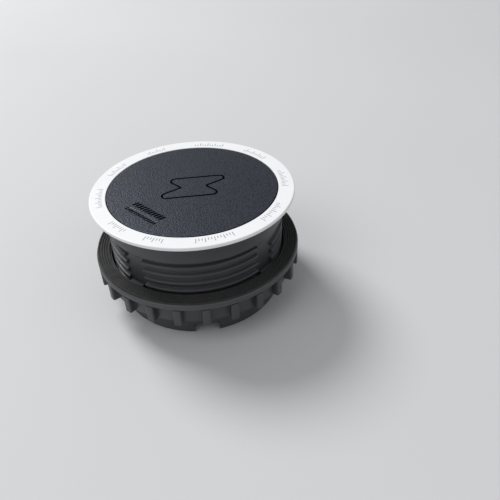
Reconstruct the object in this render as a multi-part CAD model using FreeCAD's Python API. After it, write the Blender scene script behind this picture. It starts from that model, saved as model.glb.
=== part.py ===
import FreeCAD, Part
import math
import os

# Desk grommet with a wireless charger in it. A thin ring and a round pad lie on the desk,
# a threaded barrel goes down through the hole, and a washer and a nut clamp it from below.
# All sizes are in millimetres. +Z is up, Z = 0 is the top of the desk, and the barrel's
# axis is the Z axis.

# Desk board and hole
board = 25.0                  # board that is clamped at rest
board_thinnest = 12.0
board_thickest = 32.0
hole_diameter = 80.0

# Fits, all radial or per side
hole_clearance = 0.5
slide_clearance = 0.4         # washer on the barrel
thread_clearance = 0.35       # nut on the barrel
seat_clearance = 0.15         # covers in their seats
film_margin = 0.4             # adhesive films inside the faces that they join
part_clearance = 0.5          # inner parts past the bosses
screw_clearance = 0.05        # shank in its pilot hole
turning_gap = 0.05            # between the nut and the washer

# Flange and ring
flange_overlap = 4.5          # ring past the hole's edge
gasket_thickness = 0.3
gasket_width = 2.4
flange_thickness = 0.6
ring_film = 0.1
ring_thickness = 0.5
ring_skirt = 1.1
ring_edge_round = 0.6
ring_inner_round = 0.2
skirt_lift = 0.1              # skirt above the desk
peg_radius = 0.6
peg_length = 1.8
peg_tip_gap = 0.4             # below a peg, in its hole
peg_angles = (30, 150, 270)

# Pad
pad_thickness = 1.1
pad_gap = 0.35                # dark line between pad and ring
pad_edge_round = 0.3
pad_film = 0.2
groove_width = 1.0
groove_depth = 0.35
bolt_centre = (0.45, 0.1)
bolt_notch = (5.45, 0.0)
bolt_tip = (20.0, 7.6)
bolt_shoulder = (-12.0, 8.15)
bolt_round = 2.1
bolt_notch_round = 0.55

# Barrel
collar_height = 10.0          # plain stretch that centres it in the hole
barrel_wall = 2.0
ledge_width = 1.75
rim_height = 4.5              # plain stretch under the thread
rim_chamfer = 0.6
notch_width = 11.0            # way out for the lead, at the rim
notch_height = 5.2
notch_angles = (90, 270)

# Thread, right-handed
thread_pitch = 4.0
thread_depth = 1.5
thread_crest = 1.0
thread_flank = 0.6            # axial rise of one flank
thread_relief = 0.4           # thread inside the collar's radius
thread_bury = 0.5             # of each ridge that lies in the wall
thread_run_in = 0.8           # plain stretch between the collar and the thread
tooth_setback = 1.0           # degrees, from a keyway's edge
nut_tooth_sweep = 50.0        # degrees
nut_tooth_gap = 10.0          # degrees

# Keyways in the barrel and keys on the washer
key_angles = (45, 135, 225, 315)
keyway_width = 8.0
keyway_extra_depth = 0.2      # below the thread's root
keyway_run = 0.5              # past the washer's highest place
key_bury = 0.6                # of each key that lies in the washer

# Washer, its grip ring and the nut
washer_overlap = 6.5          # washer past the hole's edge
washer_thickness = 3.0
washer_chamfer = 0.5
grip_thickness = 1.0
grip_margin = 0.6
nut_height = 9.0
nut_wall = 4.0
nut_chamfer = 0.6
nut_lug_count = 24
nut_lug_width = 3.4
nut_lug_chamfer = 0.8
nut_lug_bury = 2.0            # of each lug that lies in the nut's wall

# Charging plate and its bosses
plate_thickness = 1.5
spigot_depth = 1.6
spigot_wall = 1.4
boss_angles = (45, 135, 225, 315)
boss_radius = 3.2
boss_inset = 3.6              # boss centre from the cavity's wall
boss_web = 4.0
boss_web_bury = 0.5           # of the web that lies in the barrel's wall
pilot_depth = 6.5

# Screws
screw_shank = 1.1
screw_head = 2.2
screw_head_height = 1.1
plate_screw_length = 9.0
cover_screw_length = 7.5
hole_slack = 0.25             # clearance hole past the shank
drive_length = 2.4
drive_width = 0.5
drive_depth = 0.6

# Coil, ferrite and carrier
coil_wire = 1.0
coil_pitch = 1.45
coil_turns = 10
coil_inner = 10.5
coil_gap = 0.1                # between the coil and the plate
coil_film = 0.1
ferrite_margin = 1.0
ferrite_thickness = 1.5
ferrite_bore = 6.0
carrier_floor = 1.6
carrier_wall = 1.6
carrier_drop = 0.2            # carrier's rim below the plate
arm_width = 8.0
arm_thickness = 1.6
leg_angles = (90, 210, 330)
leg_circle = 20.0
leg_radius = 2.6
lead_bend = 1.6
inner_lead = (4.0, -1.8)      # where the coil's inner end goes down
outer_lead = (30.6, 2.6)      # where its outer end goes down
thermistor_radius = 1.1
thermistor_wire = 0.25
thermistor_spread = 0.6

# Circuit board
board_space = 6.8             # between the carrier and the circuit board
circuit_thickness = 1.6
circuit_margin = 0.8
circuit_screw_length = 6.0
circuit_screw_shank = 1.0
circuit_screw_head = 2.0
circuit_screw_head_height = 1.2

# Electronic parts: centre x, y and size x, y, height
chip_height = 1.0
controller = (0.0, 4.0, 7.0, 7.0)
transistor = (5.0, 6.0)
transistor_places = ((-9.0, 0.0), (-9.0, 8.0), (9.0, 0.0), (9.0, 8.0))
resonant_capacitor = (3.2, 2.5, 2.0)
resonant_places = ((20.0, 2.0), (20.0, 5.4), (24.0, 2.0), (24.0, 5.4))
inductor = (-11.0, 6.0, 7.0, 7.0, 4.2)
inductor_round = 1.4
capacitor_radius = 3.15
capacitor_height = 5.4
capacitor_base = 0.9
capacitor_places = ((-4.5, -14.0), (4.5, -14.0))

# Power inlet
inlet_place = (0.0, -22.0)
inlet_width = 8.94
inlet_thickness = 3.26
inlet_height = 6.5
inlet_corner = 1.37
inlet_wall = 0.3
inlet_block = 1.2
tongue_width = 6.7
tongue_thickness = 0.7
tongue_recess = 0.8
contact_count = 12
contact_pitch = 0.5
contact_width = 0.25
contact_thickness = 0.05
contact_length = 3.4
contact_recess = 1.6          # contacts' tips above the mouth
inlet_slack = 0.55            # cover's slot round the socket

# Heat path and cover
chip_space = 3.9              # between the circuit board and the heat spreader
thermal_pad_size = (25.0, 17.0)
thermal_pad_place = (0.0, 4.0)
thermal_pad_corner = 1.5
spreader_size = (36.0, 24.0)
spreader_corner = 3.0
spreader_thickness = 1.0
cover_thickness = 2.0
vent_count = 3
vent_pitch = 3.4
vent_start = 22.0
vent_width = 2.0
vent_length = 12.0
vent_corner = 0.9

# Radii that follow
hole_r = hole_diameter / 2
collar_r = hole_r - hole_clearance
thread_r = collar_r - thread_relief
root_r = thread_r - thread_depth
cavity_r = root_r - barrel_wall
pocket_r = cavity_r + ledge_width
ring_inner_r = pocket_r + seat_clearance
ring_outer_r = hole_r + flange_overlap
flange_r = ring_outer_r - ring_skirt - seat_clearance
pad_r = ring_inner_r - pad_gap
plate_r = pocket_r - seat_clearance
keyway_r = root_r - keyway_extra_depth
washer_inner_r = collar_r + slide_clearance
washer_outer_r = hole_r + washer_overlap
nut_bore_r = thread_r + thread_clearance
nut_crest_r = root_r + thread_clearance
nut_body_r = nut_bore_r + nut_wall
boss_circle = cavity_r - boss_inset
pilot_r = screw_shank + screw_clearance
clear_r = screw_shank + hole_slack
coil_outer_r = coil_inner + coil_turns * coil_pitch
ferrite_r = coil_outer_r + ferrite_margin + coil_wire / 2
tray_inner_r = ferrite_r + seat_clearance
tray_outer_r = tray_inner_r + carrier_wall

# Heights that follow, from the desk's top upwards and then down
flange_bottom = gasket_thickness
flange_top = flange_bottom + flange_thickness
ring_bottom = flange_top + ring_film
top = ring_bottom + ring_thickness
pad_bottom = top - pad_thickness
plate_top = pad_bottom - pad_film
plate_bottom = plate_top - plate_thickness
coil_centre = plate_bottom - coil_gap - coil_wire / 2
coil_bottom = coil_centre - coil_wire / 2
ferrite_top = coil_bottom - coil_film
ferrite_bottom = ferrite_top - ferrite_thickness
tray_bottom = ferrite_bottom - carrier_floor
arm_top = plate_bottom - carrier_drop
arm_bottom = arm_top - arm_thickness
circuit_top = tray_bottom - board_space
circuit_bottom = circuit_top - circuit_thickness
chip_bottom = circuit_bottom - chip_height
spreader_top = circuit_bottom - chip_space
cover_top = spreader_top - spreader_thickness
cover_bottom = cover_top - cover_thickness
inlet_mouth = circuit_bottom - inlet_height
grip_top = -board
washer_top = grip_top - grip_thickness
washer_bottom = washer_top - washer_thickness
nut_top = washer_bottom - turning_gap
nut_bottom = nut_top - nut_height
lowest_nut = nut_bottom + board - board_thickest
thread_end = lowest_nut - keyway_run
keyway_top = -board_thinnest - grip_thickness + keyway_run
barrel_end = thread_end - rim_height

# Construction length: how far a cutting solid runs past the face that it opens
past = 1.0

Z_AXIS = FreeCAD.Vector(0, 0, 1)
ORIGIN = FreeCAD.Vector(0, 0, 0)


def vec(x, y, z=0.0):
    return FreeCAD.Vector(x, y, z)


def around(radius, degrees, z=0.0):
    angle = math.radians(degrees)
    return vec(radius * math.cos(angle), radius * math.sin(angle), z)


def cylinder(radius, low, high, x=0.0, y=0.0):
    return Part.makeCylinder(radius, high - low, vec(x, y, low))


def tube_ring(outer, inner, low, high):
    return cylinder(outer, low, high).cut(cylinder(inner, low - past, high + past))


def block(width, depth, low, high, x=0.0, y=0.0):
    corner = vec(x - width / 2, y - depth / 2, low)
    return Part.makeBox(width, depth, high - low, corner)


def turned(shape, degrees):
    copy = shape.copy()
    copy.rotate(ORIGIN, Z_AXIS, degrees)
    return copy


def polar(shape, angles):
    return [turned(shape, angle) for angle in angles]


def lathe(profile):
    # Solid of revolution from points (radius, height)
    points = [vec(r, 0, z) for r, z in profile]
    face = Part.Face(Part.makePolygon(points + [points[0]]))
    return face.revolve(ORIGIN, Z_AXIS, 360)


def lathe_edges(edges):
    return Part.Face(Part.Wire(edges)).revolve(ORIGIN, Z_AXIS, 360)


def line(start, end):
    return Part.LineSegment(start, end).toShape()


def quarter_arc(start, centre, end):
    middle = centre + ((start - centre) + (end - centre)).normalize() * (start - centre).Length
    return Part.Arc(start, middle, end).toShape()


def corner_arc(before, corner, after, radius):
    # Tangent arc that rounds one corner of a path
    back = (before - corner).normalize()
    on = (after - corner).normalize()
    half = back.getAngle(on) / 2
    reach = radius / math.tan(half)
    middle_line = (back + on).normalize()
    centre = corner + middle_line * (radius / math.sin(half))
    return corner + back * reach, centre - middle_line * radius, corner + on * reach


def rounded_loop(points, radii):
    # Closed outline of straight lines with a tangent arc at each corner
    count = len(points)
    arcs = [corner_arc(points[i - 1], points[i], points[(i + 1) % count], radii[i])
            for i in range(count)]
    edges = []
    for i in range(count):
        start, middle, end = arcs[i]
        edges.append(Part.Arc(start, middle, end).toShape())
        edges.append(line(end, arcs[(i + 1) % count][0]))
    return Part.Wire(edges)


def bent_path(points, bend):
    # Open path of straight runs joined by tangent arcs of one radius
    edges = []
    place = points[0]
    for i in range(1, len(points) - 1):
        start, middle, end = corner_arc(points[i - 1], points[i], points[i + 1], bend)
        edges.append(line(place, start))
        edges.append(Part.Arc(start, middle, end).toShape())
        place = end
    edges.append(line(place, points[-1]))
    return Part.Wire(edges)


def wire_solid(path, radius):
    start = path.OrderedEdges[0]
    point = start.valueAt(start.FirstParameter)
    heading = start.tangentAt(start.FirstParameter)
    profile = Part.Wire(Part.Circle(point, heading, radius).toShape())
    return path.makePipeShell([profile], True, False)


def rounded_block(width, depth, corner, low, high, x=0.0, y=0.0):
    half_x = width / 2
    half_y = depth / 2
    points = [vec(x - half_x, y - half_y, low), vec(x + half_x, y - half_y, low),
              vec(x + half_x, y + half_y, low), vec(x - half_x, y + half_y, low)]
    outline = rounded_loop(points, [corner] * 4)
    return Part.Face(outline).extrude(vec(0, 0, high - low))


def helical_piece(section, sweep):
    # Piece of a ridge wound round Z over some degrees. The section's points are
    # (radius, height from the ridge's middle), and the middle starts at height 0, angle 0
    helix = Part.makeHelix(thread_pitch, thread_pitch * sweep / 360, root_r)
    points = [vec(r, 0, z) for r, z in section]
    profile = Part.makePolygon(points + [points[0]])
    return Part.Wire(helix.Edges).makePipeShell([profile], True, True)


def wound(shape, degrees):
    # The same piece further along the thread
    copy = turned(shape, degrees)
    copy.translate(vec(0, 0, thread_pitch * degrees / 360))
    return copy


def winding_angles(first, step, sweep, low, high):
    # Angles along the thread at which a tooth of this sweep stays between two heights
    start = math.ceil((low * 360 / thread_pitch - first) / step)
    stop = math.floor((high * 360 / thread_pitch - sweep - first) / step)
    return [first + step * i for i in range(start, stop + 1)]


def flank_half_width(radius):
    # Half of the barrel ridge's axial width at a radius
    return thread_crest / 2 + thread_flank * (thread_r - radius) / thread_depth


def nut_half_width(radius):
    return thread_pitch / 2 - flank_half_width(radius) - thread_clearance


def barrel_teeth():
    # The barrel's thread, which the keyways interrupt
    buried_r = root_r - thread_bury
    half = flank_half_width(root_r)
    section = [(buried_r, -flank_half_width(buried_r)), (buried_r, flank_half_width(buried_r)),
               (thread_r, flank_half_width(thread_r)), (thread_r, -flank_half_width(thread_r))]
    setback = math.degrees(math.asin(keyway_width / 2 / root_r)) + tooth_setback
    spacing = 360 / len(key_angles)
    sweep = spacing - 2 * setback
    angles = winding_angles(key_angles[0] + setback, spacing, sweep, thread_end + half,
                            -collar_height - thread_run_in - half)
    tooth = helical_piece(section, sweep)
    return [wound(tooth, angle) for angle in angles]


def nut_teeth():
    # The nut's thread, half a pitch from the barrel's, so that they are in mesh at rest
    buried_r = nut_bore_r + thread_bury
    half = nut_half_width(nut_bore_r)
    section = [(buried_r, -nut_half_width(buried_r)), (buried_r, nut_half_width(buried_r)),
               (nut_crest_r, nut_half_width(nut_crest_r)),
               (nut_crest_r, -nut_half_width(nut_crest_r))]
    lift = thread_pitch / 2
    angles = winding_angles(0, nut_tooth_sweep + nut_tooth_gap, nut_tooth_sweep,
                            nut_bottom + nut_chamfer + half - lift,
                            nut_top - nut_chamfer - half - lift)
    tooth = helical_piece(section, nut_tooth_sweep)
    tooth.translate(vec(0, 0, lift))
    return [wound(tooth, angle) for angle in angles]


def housing_barrel():
    body = lathe([
        (cavity_r, barrel_end), (root_r - rim_chamfer, barrel_end),
        (root_r, barrel_end + rim_chamfer), (root_r, -collar_height - thread_relief),
        (collar_r, -collar_height), (collar_r, flange_bottom), (flange_r, flange_bottom),
        (flange_r, flange_top), (pocket_r, flange_top), (pocket_r, plate_bottom),
        (cavity_r, plate_bottom)])
    keyway = block(collar_r, keyway_width, barrel_end - past, keyway_top, keyway_r + collar_r / 2)
    notch = block(collar_r, notch_width, barrel_end - past, barrel_end + notch_height,
                  cavity_r - past + collar_r / 2)
    peg_hole = cylinder(peg_radius + screw_clearance, flange_top - peg_length - peg_tip_gap,
                        flange_top + past, peg_circle())
    cuts = polar(keyway, key_angles) + polar(notch, notch_angles) + polar(peg_hole, peg_angles)
    body = body.cut(Part.makeCompound(cuts)).fuse(polar(boss(), boss_angles)).removeSplitter()
    return body.fuse(barrel_teeth())


def boss():
    # Column inside the cavity that takes a plate screw from above and a cover screw from below
    column = cylinder(boss_radius, cover_top, arm_bottom, boss_circle)
    web_end = cavity_r + boss_web_bury
    web = block(web_end - boss_circle, boss_web, cover_top, arm_bottom,
                (web_end + boss_circle) / 2)
    upper = cylinder(pilot_r, arm_bottom - pilot_depth, arm_bottom + past, boss_circle)
    lower = cylinder(pilot_r, cover_top - past, cover_top + pilot_depth, boss_circle)
    return column.fuse(web).cut(upper).cut(lower)


def peg_circle():
    return (pocket_r + collar_r) / 2


def flange_gasket():
    outer = flange_r - film_margin
    return tube_ring(outer, outer - gasket_width, 0, gasket_thickness)


def trim_ring():
    inside = ring_inner_r + ring_inner_round
    outside = ring_outer_r - ring_edge_round
    skirt_r = ring_outer_r - ring_skirt
    points = [vec(inside, 0, top), vec(outside, 0, top),
              vec(ring_outer_r, 0, top - ring_edge_round), vec(ring_outer_r, 0, skirt_lift),
              vec(skirt_r, 0, skirt_lift), vec(skirt_r, 0, ring_bottom),
              vec(ring_inner_r, 0, ring_bottom), vec(ring_inner_r, 0, top - ring_inner_round)]
    edges = [line(points[0], points[1]),
             quarter_arc(points[1], vec(outside, 0, top - ring_edge_round), points[2])]
    edges += [line(points[i], points[i + 1]) for i in range(2, 7)]
    edges.append(quarter_arc(points[7], vec(inside, 0, top - ring_inner_round), points[0]))
    peg = cylinder(peg_radius, flange_top - peg_length, ring_bottom + ring_thickness / 2,
                   peg_circle())
    return lathe_edges(edges).fuse(polar(peg, peg_angles)).removeSplitter()


def ring_film_piece():
    film = tube_ring(flange_r - film_margin, pocket_r + film_margin, flange_top, ring_bottom)
    hole = cylinder(peg_radius + screw_clearance, flange_top - past, ring_bottom + past,
                    peg_circle())
    return film.cut(Part.makeCompound(polar(hole, peg_angles)))


def bolt_outline():
    # Charging sign, the same when turned by half a turn about its centre
    half = [bolt_notch, bolt_tip, bolt_shoulder]
    corners = half + [(-x, -y) for x, y in half]
    points = [vec(bolt_centre[0] + x, bolt_centre[1] + y, top) for x, y in corners]
    return rounded_loop(points, [bolt_notch_round, bolt_round, bolt_round] * 2)


def bolt_groove():
    middle = Part.Face(bolt_outline())
    outer = middle.makeOffset2D(groove_width / 2)
    inner = middle.makeOffset2D(-groove_width / 2)
    groove = outer.cut(inner)
    groove.translate(vec(0, 0, -groove_depth))
    return groove.extrude(vec(0, 0, groove_depth + past))


def top_pad():
    edge_r = pad_r - pad_edge_round
    points = [vec(0, 0, pad_bottom), vec(pad_r, 0, pad_bottom),
              vec(pad_r, 0, top - pad_edge_round), vec(edge_r, 0, top), vec(0, 0, top)]
    edges = [line(points[0], points[1]), line(points[1], points[2]),
             quarter_arc(points[2], vec(edge_r, 0, top - pad_edge_round), points[3]),
             line(points[3], points[4]), line(points[4], points[0])]
    return lathe_edges(edges).cut(bolt_groove())


def pad_film_piece():
    return cylinder(pad_r - film_margin, plate_top, pad_bottom)


def countersink(face_height, direction):
    # Cone that a flat head sits in; direction is +1 where the head faces up, -1 where down
    wide = screw_head + screw_clearance
    cone = Part.makeCone(pilot_r, wide, screw_head_height, vec(0, 0, -screw_head_height))
    lip = cylinder(wide, 0, past)
    shape = cone.fuse(lip)
    if direction < 0:
        shape.rotate(ORIGIN, vec(1, 0, 0), 180)
    shape.translate(vec(boss_circle, 0, face_height))
    return shape


def flat_screw(length, head_height, direction):
    # Countersunk screw whose head is flush at head_height, with a cross drive
    cone = Part.makeCone(screw_shank, screw_head, screw_head_height,
                         vec(0, 0, -screw_head_height))
    shank = cylinder(screw_shank, -length + screw_shank, -screw_head_height)
    point = Part.makeCone(0.0, screw_shank, screw_shank, vec(0, 0, -length))
    shape = cone.fuse([shank, point]).removeSplitter()
    shape = shape.cut(cross_drive(0.0))
    if direction < 0:
        shape.rotate(ORIGIN, vec(1, 0, 0), 180)
    shape.translate(vec(boss_circle, 0, head_height))
    return shape


def cross_drive(face_height):
    bar = block(drive_length, drive_width, face_height - drive_depth, face_height + past)
    return bar.fuse(turned(bar, 90))


def charging_plate():
    plate = cylinder(plate_r, plate_bottom, plate_top)
    spigot_outer = cavity_r - 2 * seat_clearance
    spigot = tube_ring(spigot_outer, spigot_outer - spigot_wall,
                       plate_bottom - spigot_depth, plate_bottom)
    room = block(cavity_r, arm_width + 2 * part_clearance, plate_bottom - spigot_depth - past,
                 plate_bottom, cavity_r / 2)
    spigot = spigot.cut(Part.makeCompound(polar(room, boss_angles)))
    hole = cylinder(clear_r, plate_bottom - past, plate_top + past, boss_circle)
    hole = hole.fuse(countersink(plate_top, 1))
    return plate.fuse(spigot).cut(Part.makeCompound(polar(hole, boss_angles)))


def coil_path():
    # Flat spiral of half turns; the centres of the halves lie on the X axis
    edges = []
    for half_turn in range(2 * coil_turns):
        side = 1 if half_turn % 2 == 0 else -1
        near = side * (coil_inner + half_turn * coil_pitch / 2)
        far = -side * (coil_inner + (half_turn + 1) * coil_pitch / 2)
        crown = vec((near + far) / 2, side * abs(near - far) / 2, coil_centre)
        edges.append(Part.Arc(vec(near, 0, coil_centre), crown, vec(far, 0, coil_centre)).toShape())
    return Part.Wire(edges)


def coil_winding():
    return wire_solid(coil_path(), coil_wire / 2)


def least_coil_gap():
    # Smallest distance between neighbouring turns, measured on points of the path
    points_per_half = 24
    points = []
    for edge in coil_path().OrderedEdges:
        points += edge.discretize(points_per_half)[:-1]
    one_turn = 2 * (points_per_half - 1)
    window = 6
    distances = []
    for i, point in enumerate(points):
        for j in range(i + one_turn - window, min(i + one_turn + window, len(points))):
            distances.append(point.distanceToPoint(points[j]))
    return min(distances) - coil_wire


def coil_film_piece():
    return tube_ring(ferrite_r - film_margin, ferrite_bore + film_margin, ferrite_top, coil_bottom)


def ferrite_shield():
    return tube_ring(ferrite_r, ferrite_bore, ferrite_bottom, ferrite_top)


def coil_carrier():
    tray = cylinder(tray_outer_r, tray_bottom, arm_top)
    arm_end = boss_circle + boss_radius
    arm = block(arm_end, arm_width, arm_bottom, arm_top, arm_end / 2)
    leg = cylinder(leg_radius, circuit_top, tray_bottom, leg_circle)
    body = tray.fuse(polar(arm, boss_angles) + polar(leg, leg_angles)).removeSplitter()
    pocket = cylinder(tray_inner_r, ferrite_bottom, arm_top + past)
    bore = cylinder(ferrite_bore, tray_bottom - past, ferrite_bottom + past)
    lead_x, lead_y = outer_lead
    slot_end = max(lead_x, tray_outer_r) + past
    lead_slot = block(slot_end, coil_wire + 2 * part_clearance, coil_bottom - coil_film,
                      arm_top + past, slot_end / 2, lead_y)
    arm_hole = cylinder(clear_r, arm_bottom - past, arm_top + past, boss_circle)
    leg_hole = cylinder(circuit_screw_shank + screw_clearance, circuit_top - past,
                        circuit_top + circuit_screw_length, leg_circle)
    holes = polar(arm_hole, boss_angles) + polar(leg_hole, leg_angles)
    return body.cut(Part.makeCompound([pocket.fuse(bore), lead_slot] + holes))


def coil_leads():
    inner_x, inner_y = inner_lead
    outer_x, outer_y = outer_lead
    inner = bent_path([vec(coil_inner, 0, coil_centre), vec(coil_inner, inner_y, coil_centre),
                       vec(inner_x, inner_y, coil_centre), vec(inner_x, inner_y, circuit_top)],
                      lead_bend)
    outer = bent_path([vec(coil_outer_r, 0, coil_centre), vec(coil_outer_r, outer_y, coil_centre),
                       vec(outer_x, outer_y, coil_centre), vec(outer_x, outer_y, circuit_top)],
                      lead_bend)
    return Part.makeCompound([wire_solid(path, coil_wire / 2) for path in (inner, outer)])


def thermistor_centre():
    return plate_bottom - thermistor_radius


def coil_thermistor():
    return Part.makeSphere(thermistor_radius, vec(0, 0, thermistor_centre()))


def thermistor_leads():
    reach = thermistor_spread + thermistor_wire
    start = thermistor_centre() - math.sqrt(thermistor_radius ** 2 - reach ** 2)
    low_start = thermistor_centre() - thermistor_radius
    wires = [cylinder(thermistor_wire, circuit_top, start, side * thermistor_spread)
             for side in (-1, 1)]
    bead = cylinder(reach + past, low_start, start + past)
    ball = coil_thermistor()
    return Part.makeCompound([wire.cut(bead.common(ball)) for wire in wires])


def circuit_board():
    plate = cylinder(cavity_r - circuit_margin, circuit_bottom, circuit_top)
    room_r = boss_radius + part_clearance
    room = cylinder(room_r, circuit_bottom - past, circuit_top + past, boss_circle)
    way = block(cavity_r, 2 * room_r, circuit_bottom - past, circuit_top + past,
                boss_circle + cavity_r / 2)
    hole = cylinder(circuit_screw_shank + hole_slack, circuit_bottom - past, circuit_top + past,
                    leg_circle)
    cuts = polar(room.fuse(way), boss_angles) + polar(hole, leg_angles)
    return plate.cut(Part.makeCompound(cuts))


def circuit_screws():
    head_low = circuit_bottom - circuit_screw_head_height
    head = cylinder(circuit_screw_head, head_low, circuit_bottom)
    shank = cylinder(circuit_screw_shank, circuit_bottom, circuit_bottom + circuit_screw_length)
    bar = block(drive_length, drive_width, head_low - past, head_low + drive_depth)
    screw = head.fuse(shank).cut(bar.fuse(turned(bar, 90)))
    screw.translate(vec(leg_circle, 0, 0))
    return Part.makeCompound(polar(screw, leg_angles))


def plate_screws():
    screw = flat_screw(plate_screw_length, plate_top, 1)
    return Part.makeCompound(polar(screw, boss_angles))


def cover_screws():
    screw = flat_screw(cover_screw_length, cover_bottom, -1)
    return Part.makeCompound(polar(screw, boss_angles))


def controller_chip():
    x, y, width, depth = controller
    return block(width, depth, chip_bottom, circuit_bottom, x, y)


def power_transistors():
    width, depth = transistor
    return Part.makeCompound([block(width, depth, chip_bottom, circuit_bottom, x, y)
                              for x, y in transistor_places])


def resonant_capacitors():
    width, depth, height = resonant_capacitor
    return Part.makeCompound([block(width, depth, circuit_top, circuit_top + height, x, y)
                              for x, y in resonant_places])


def filter_inductor():
    x, y, width, depth, height = inductor
    return rounded_block(width, depth, inductor_round, circuit_top, circuit_top + height, x, y)


def input_capacitors():
    cans = []
    for x, y in capacitor_places:
        base = block(2 * capacitor_radius, 2 * capacitor_radius, circuit_top,
                     circuit_top + capacitor_base, x, y)
        can = cylinder(capacitor_radius, circuit_top + capacitor_base / 2,
                       circuit_top + capacitor_height, x, y)
        cans.append(base.fuse(can).removeSplitter())
    return Part.makeCompound(cans)


def inlet_outline(inset, low, high):
    # Rounded outline of the socket's shell, drawn in by an inset
    x, y = inlet_place
    return rounded_block(inlet_width - 2 * inset, inlet_thickness - 2 * inset,
                         inlet_corner - inset, low, high, x, y)


def inlet_shell():
    body = inlet_outline(0.0, inlet_mouth, circuit_bottom)
    return body.cut(inlet_outline(inlet_wall, inlet_mouth - past, circuit_bottom + past))


def inlet_tongue():
    x, y = inlet_place
    base = inlet_outline(inlet_wall, circuit_bottom - inlet_block, circuit_bottom)
    tongue = block(tongue_width, tongue_thickness, inlet_mouth + tongue_recess,
                   circuit_bottom - inlet_block / 2, x, y)
    return base.fuse(tongue).removeSplitter()


def inlet_contacts():
    x, y = inlet_place
    low = inlet_mouth + contact_recess
    span = (contact_count - 1) * contact_pitch
    offset = (tongue_thickness + contact_thickness) / 2
    strips = []
    for side in (-1, 1):
        for i in range(contact_count):
            place = x - span / 2 + i * contact_pitch
            strips.append(block(contact_width, contact_thickness, low, low + contact_length,
                                place, y + side * offset))
    return Part.makeCompound(strips)


def thermal_pad():
    width, depth = thermal_pad_size
    x, y = thermal_pad_place
    return rounded_block(width, depth, thermal_pad_corner, spreader_top, chip_bottom, x, y)


def heat_spreader():
    width, depth = spreader_size
    x, y = thermal_pad_place
    return rounded_block(width, depth, spreader_corner, cover_top, spreader_top, x, y)


def base_cover():
    cover = cylinder(cavity_r - 2 * seat_clearance, cover_bottom, cover_top)
    slot = inlet_outline(-inlet_slack, cover_bottom - past, cover_top + past)
    hole = cylinder(clear_r, cover_bottom - past, cover_top + past, boss_circle)
    hole = hole.fuse(countersink(cover_bottom, -1))
    vents = []
    for side in (-1, 1):
        for i in range(vent_count):
            place = side * (vent_start + i * vent_pitch)
            vents.append(rounded_block(vent_width, vent_length, vent_corner,
                                       cover_bottom - past, cover_top + past, place))
    return cover.cut(Part.makeCompound([slot] + polar(hole, boss_angles) + vents))


def pressure_washer():
    body = lathe([
        (washer_inner_r, washer_bottom), (washer_outer_r - washer_chamfer, washer_bottom),
        (washer_outer_r, washer_bottom + washer_chamfer),
        (washer_outer_r, washer_top - washer_chamfer),
        (washer_outer_r - washer_chamfer, washer_top), (washer_inner_r, washer_top)])
    key_inner = keyway_r + slide_clearance
    key_outer = washer_inner_r + key_bury
    key = block(key_outer - key_inner, keyway_width - 2 * slide_clearance, washer_bottom,
                washer_top, (key_inner + key_outer) / 2)
    return body.fuse(polar(key, key_angles)).removeSplitter()


def washer_grip():
    return tube_ring(washer_outer_r - washer_chamfer, washer_inner_r + grip_margin,
                     washer_top, grip_top)


def lock_nut():
    body = lathe([
        (nut_bore_r + nut_chamfer, nut_bottom), (nut_body_r - nut_chamfer, nut_bottom),
        (nut_body_r, nut_bottom + nut_chamfer), (nut_body_r, nut_top),
        (nut_bore_r + nut_chamfer, nut_top), (nut_bore_r, nut_top - nut_chamfer),
        (nut_bore_r, nut_bottom + nut_chamfer)])
    inner = nut_body_r - nut_lug_bury
    half = nut_lug_width / 2
    corners = [vec(inner, -half), vec(washer_outer_r - nut_lug_chamfer, -half),
               vec(washer_outer_r, -half + nut_lug_chamfer),
               vec(washer_outer_r, half - nut_lug_chamfer),
               vec(washer_outer_r - nut_lug_chamfer, half), vec(inner, half)]
    lug = Part.Face(Part.makePolygon(corners + [corners[0]])).extrude(
        vec(0, 0, nut_height - nut_chamfer))
    lug.translate(vec(0, 0, nut_bottom + nut_chamfer))
    lug_angles = [i * 360 / nut_lug_count for i in range(nut_lug_count)]
    return body.fuse(polar(lug, lug_angles)).removeSplitter().fuse(nut_teeth())


PARTS = {
    "trim_ring": trim_ring,
    "ring_adhesive": ring_film_piece,
    "top_pad": top_pad,
    "pad_adhesive": pad_film_piece,
    "charging_plate": charging_plate,
    "plate_screws": plate_screws,
    "coil_winding": coil_winding,
    "coil_adhesive": coil_film_piece,
    "coil_leads": coil_leads,
    "ferrite_shield": ferrite_shield,
    "coil_carrier": coil_carrier,
    "coil_thermistor": coil_thermistor,
    "thermistor_leads": thermistor_leads,
    "circuit_board": circuit_board,
    "circuit_screws": circuit_screws,
    "controller_chip": controller_chip,
    "power_transistors": power_transistors,
    "resonant_capacitors": resonant_capacitors,
    "filter_inductor": filter_inductor,
    "input_capacitors": input_capacitors,
    "inlet_shell": inlet_shell,
    "inlet_tongue": inlet_tongue,
    "inlet_contacts": inlet_contacts,
    "thermal_pad": thermal_pad,
    "heat_spreader": heat_spreader,
    "base_cover": base_cover,
    "cover_screws": cover_screws,
    "housing_barrel": housing_barrel,
    "flange_gasket": flange_gasket,
    "pressure_washer": pressure_washer,
    "washer_grip": washer_grip,
    "lock_nut": lock_nut,
}

os.makedirs("parts", exist_ok=True)
for name, make in PARTS.items():
    shape = make()
    shape.exportStep("parts/%s.step" % name)
    print("%-20s solids %2d  volume %10.2f" % (name, len(shape.Solids), shape.Volume))
print("least gap between the coil's turns: %.3f mm" % least_coil_gap())
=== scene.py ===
"""Looks of the desk grommet charger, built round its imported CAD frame. Lengths are in metres."""
import math

import bmesh
import bpy
from mathutils import Matrix, Vector
from mathutils.geometry import delaunay_2d_cdt


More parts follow.
